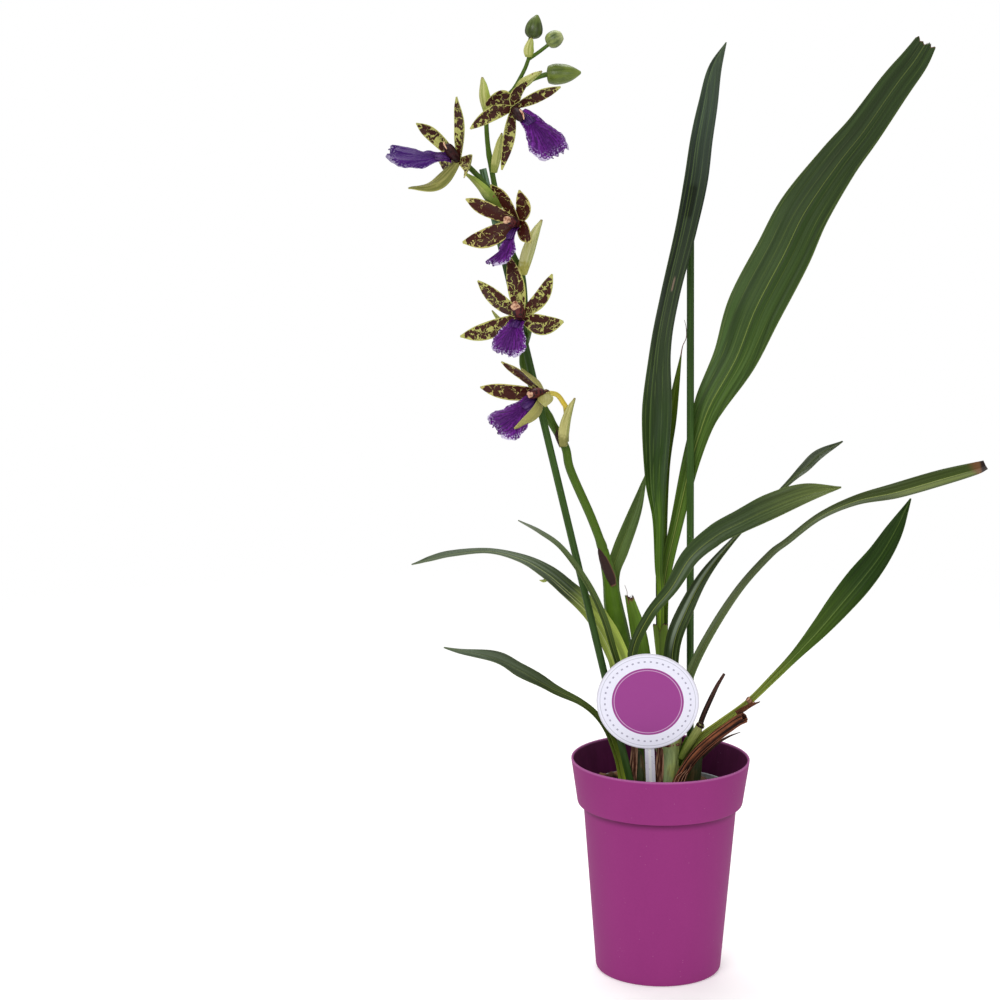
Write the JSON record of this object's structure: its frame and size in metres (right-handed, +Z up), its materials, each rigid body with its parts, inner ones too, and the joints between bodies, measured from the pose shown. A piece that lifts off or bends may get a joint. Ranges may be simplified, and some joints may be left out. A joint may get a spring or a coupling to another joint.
{
  "type": "potted zygopetalum orchid",
  "caption": "Potted orchid: strap leaves on ridged bulbs and a flower spike with maroon and green blooms, violet lips, buds, held by thin canes, in bark in a plastic pot with a straight collar.",
  "frame": {"origin": "centre of the cover pot's flat foot, on the surface that the pot stands on", "axes": "+Z up the pot's axis; +X to the right and -Y to the front, where the label faces"},
  "size_m": [0.4136, 0.1631, 0.6642],
  "materials": {
    "pot_plastic": "satin",
    "nursery_pot": "matte",
    "bark": "matte",
    "cane": "satin",
    "label_card": "satin",
    "label_stake": "gloss",
    "bulb": "satin",
    "spike_stem": "satin",
    "green_sheath": "satin",
    "dry_sheath": "matte",
    "tepal": "satin",
    "lip": "matte",
    "column": "satin",
    "bud": "satin",
    "bract": "satin",
    "leaf": "satin"
  },
  "bodies": {
    "root": {"pot": "pot_plastic", "nursery_pot": "nursery_pot", "cane_left": "cane", "cane_right": "cane", "label_card": "label_card", "label_stake": "label_stake", "bulb_main": "bulb", "bulb_left": "bulb", "bulb_right": "bulb", "spike": "spike_stem", "spike_sheath": "green_sheath", "spike_dry_sheath": "dry_sheath", "bloom_a_tepals": "tepal", "bloom_a_column": "column", "bloom_a_lip": "lip", "bloom_b_tepals": "tepal", "bloom_b_column": "column", "bloom_b_lip": "lip", "bloom_c_tepals": "tepal", "bloom_c_column": "column", "bloom_c_lip": "lip", "bloom_d_tepals": "tepal", "bloom_d_column": "column", "bloom_d_lip": "lip", "bloom_e_tepals": "tepal", "bloom_e_column": "column", "bloom_e_lip": "lip", "bud_top": "bud", "bud_small": "bud", "bud_side": "bud", "bract_a": "bract", "bract_b": "bract", "bract_c": "bract", "bract_d": "bract", "bract_e": "bract", "bract_between": "bract", "bract_side_bud": "bract", "bract_top_bud": "bract", "leaf_tall_left": "leaf", "leaf_tall_right": "leaf", "leaf_small_back": "leaf", "leaf_front_right": "leaf", "leaf_mid_right": "leaf", "leaf_long_right": "leaf", "leaf_far_right": "leaf", "leaf_upper_left": "leaf", "leaf_narrow_left": "leaf", "leaf_low_left": "leaf", "leaf_back_left": "leaf", "stub_left": "green_sheath", "stub_middle": "leaf", "husk_right": "dry_sheath", "husk_left": "dry_sheath", "stub_right": "green_sheath", "twig": "dry_sheath", "bark": "bark"}
  },
  "joints": []
}
